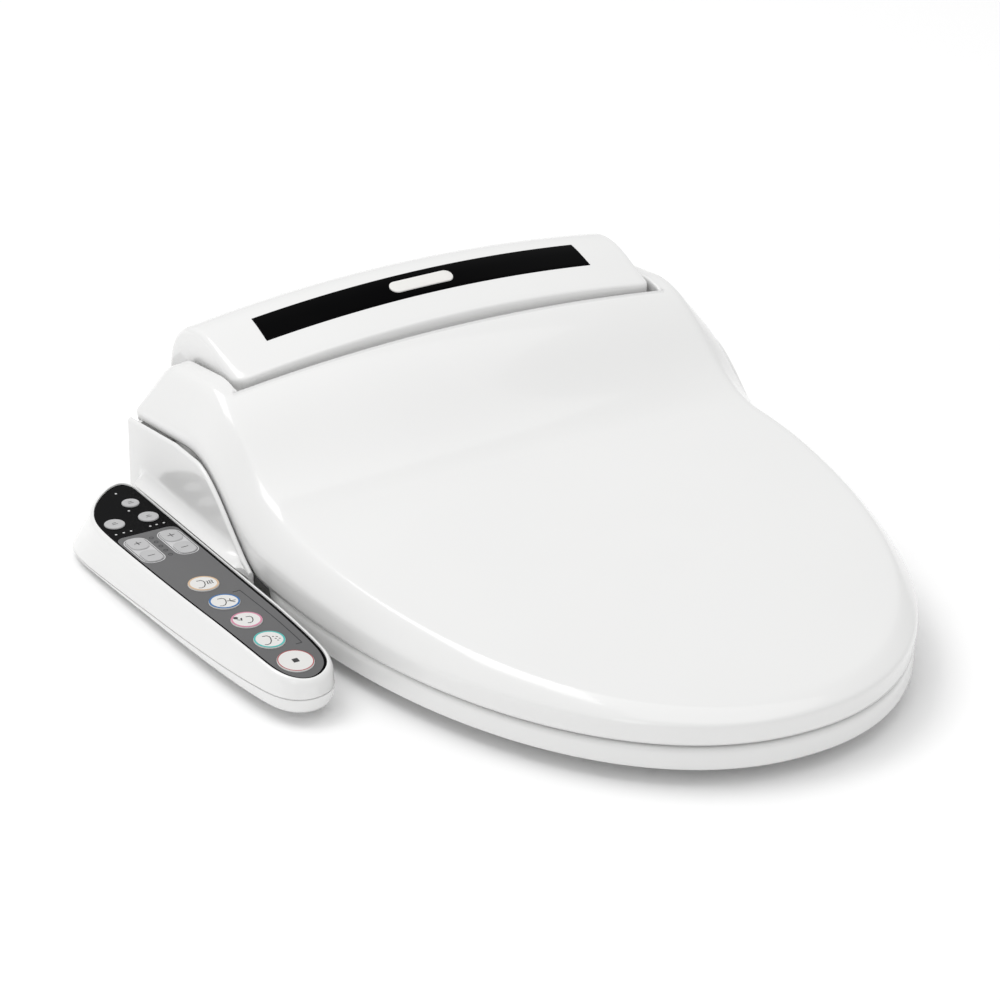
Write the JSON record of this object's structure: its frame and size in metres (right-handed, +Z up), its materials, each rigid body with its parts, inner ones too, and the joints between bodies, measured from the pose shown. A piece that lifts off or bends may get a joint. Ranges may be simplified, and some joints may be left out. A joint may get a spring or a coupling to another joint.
{
  "type": "electric bidet seat",
  "caption": "Elongated heated bidet seat with a domed lid, an arched rear housing and a fixed side control arm with push keys.",
  "frame": {"origin": "underside of the mounting bracket, on the centre plane, midway between the two bowl bolts", "axes": "+Z up, front of the seat towards -Y, control arm towards -X"},
  "size_m": [0.4391, 0.5175, 0.1429],
  "materials": {
    "white_gloss": "glossy",
    "black_gloss": "mirror gloss",
    "badge_ivory": "satin",
    "panel_grey": "satin printed film",
    "key_white": "satin",
    "circuit_board": "solder mask",
    "steel": "brushed",
    "dark_plastic": "matt",
    "copper": "bright",
    "pale_plastic": "satin",
    "grey_plastic": "satin",
    "buffer_rubber": "matt"
  },
  "bodies": {
    "root": {"base_housing": "white_gloss", "side_panel_left": "white_gloss", "side_panel_right": "white_gloss", "top_housing": "white_gloss", "display_window": "black_gloss", "badge": "badge_ivory", "arm_upper_shell": "white_gloss", "arm_lower_shell": "white_gloss", "panel_fascia": "panel_grey", "panel_board": "circuit_board", "mounting_bracket": "steel", "hinge_pin_left": "steel", "hinge_pin_right": "steel", "soft_close_damper_left": "dark_plastic", "soft_close_damper_right": "dark_plastic", "water_inlet": "pale_plastic", "inlet_filter": "grey_plastic", "power_gland": "dark_plastic", "panel_cable": "dark_plastic", "water_tank": "pale_plastic", "tank_heating_element": "steel", "inlet_valve": "dark_plastic", "water_pump": "dark_plastic", "main_board": "circuit_board", "nozzle_housing": "grey_plastic", "nozzle_motor_left": "dark_plastic", "nozzle_motor_right": "dark_plastic", "blower_housing": "dark_plastic", "blower_motor": "steel", "dryer_duct": "dark_plastic", "dryer_heating_element": "copper"},
    "seat": {"seat_upper_shell": "white_gloss", "seat_lower_shell": "white_gloss", "seat_heater": "copper", "seat_buffer_1": "buffer_rubber", "seat_buffer_2": "buffer_rubber", "seat_buffer_3": "buffer_rubber", "seat_buffer_4": "buffer_rubber"},
    "lid": {"lid_shell": "white_gloss", "lid_buffer_1": "buffer_rubber", "lid_buffer_2": "buffer_rubber", "lid_buffer_3": "buffer_rubber", "lid_buffer_4": "buffer_rubber"},
    "rear_nozzle": {"rear_wash_nozzle": "pale_plastic"},
    "front_nozzle": {"front_wash_nozzle": "pale_plastic"},
    "fan": {"blower_impeller": "grey_plastic"},
    "flap": {"dryer_flap": "white_gloss"},
    "release": {"release_button": "grey_plastic"},
    "power_key": {"power_button": "key_white"},
    "eco_key": {"eco_button": "key_white"},
    "seat_heat_key": {"seat_heat_button": "key_white"},
    "dry_key": {"dry_button": "key_white"},
    "rear_wash_key": {"rear_wash_button": "key_white"},
    "front_wash_key": {"front_wash_button": "key_white"},
    "bubble_key": {"bubble_button": "key_white"},
    "stop_key": {"stop_button": "key_white"},
    "pressure_down_key": {"pressure_down_button": "key_white"},
    "pressure_up_key": {"pressure_up_button": "key_white"},
    "position_back_key": {"position_back_button": "key_white"},
    "position_front_key": {"position_front_button": "key_white"}
  },
  "joints": [
    {"name": "seat_hinge", "type": "hinge", "parent": "root", "child": "seat", "pos_m": [0, 0.004, 0.094], "axis": [-1, 0, 0], "range_deg": [0, 100]},
    {"name": "lid_hinge", "type": "hinge", "parent": "seat", "child": "lid", "pos_m": [0, 0.004, 0.094], "axis": [1, 0, 0], "range_deg": [-100, 0]},
    {"name": "rear_nozzle_slide", "type": "slide", "parent": "root", "child": "rear_nozzle", "axis": [0, -0.9781, -0.2079], "range_m": [0, 0.075]},
    {"name": "front_nozzle_slide", "type": "slide", "parent": "root", "child": "front_nozzle", "axis": [0, -0.9781, -0.2079], "range_m": [0, 0.075]},
    {"name": "fan_spin", "type": "hinge", "parent": "root", "child": "fan", "pos_m": [-0.124, 0.01, 0.042], "axis": [1, 0, 0], "continuous": true},
    {"name": "flap_hinge", "type": "hinge", "parent": "root", "child": "flap", "pos_m": [-0.124, -0.0516, 0.0516], "axis": [-1, 0, 0], "range_deg": [0, 60]},
    {"name": "release_press", "type": "slide", "parent": "root", "child": "release", "axis": [0, -1, 0], "range_m": [0, 0.004], "stiffness_N_per_m": 300},
    {"name": "power_press", "type": "slide", "parent": "root", "child": "power_key", "axis": [0, 0, -1], "range_m": [0, 0.0007], "stiffness_N_per_m": 800},
    {"name": "eco_press", "type": "slide", "parent": "root", "child": "eco_key", "axis": [0, 0, -1], "range_m": [0, 0.0007], "stiffness_N_per_m": 800},
    {"name": "seat_heat_press", "type": "slide", "parent": "root", "child": "seat_heat_key", "axis": [0, 0, -1], "range_m": [0, 0.0007], "stiffness_N_per_m": 800},
    {"name": "dry_press", "type": "slide", "parent": "root", "child": "dry_key", "axis": [0, 0, -1], "range_m": [0, 0.0007], "stiffness_N_per_m": 800},
    {"name": "rear_wash_press", "type": "slide", "parent": "root", "child": "rear_wash_key", "axis": [0, 0, -1], "range_m": [0, 0.0007], "stiffness_N_per_m": 800},
    {"name": "front_wash_press", "type": "slide", "parent": "root", "child": "front_wash_key", "axis": [0, 0.0261, -0.9997], "range_m": [0, 0.0007], "stiffness_N_per_m": 800},
    {"name": "bubble_press", "type": "slide", "parent": "root", "child": "bubble_key", "axis": [0, 0.0745, -0.9972], "range_m": [0, 0.0007], "stiffness_N_per_m": 800},
    {"name": "stop_press", "type": "slide", "parent": "root", "child": "stop_key", "axis": [0, 0.1224, -0.9925], "range_m": [0, 0.0007], "stiffness_N_per_m": 800},
    {"name": "pressure_down_press", "type": "slide", "parent": "root", "child": "pressure_down_key", "axis": [0, 0, -1], "range_m": [0, 0.0007], "stiffness_N_per_m": 800},
    {"name": "pressure_up_press", "type": "slide", "parent": "root", "child": "pressure_up_key", "axis": [0, 0, -1], "range_m": [0, 0.0007], "stiffness_N_per_m": 800},
    {"name": "position_back_press", "type": "slide", "parent": "root", "child": "position_back_key", "axis": [0, 0, -1], "range_m": [0, 0.0007], "stiffness_N_per_m": 800},
    {"name": "position_front_press", "type": "slide", "parent": "root", "child": "position_front_key", "axis": [0, 0, -1], "range_m": [0, 0.0007], "stiffness_N_per_m": 800}
  ]
}
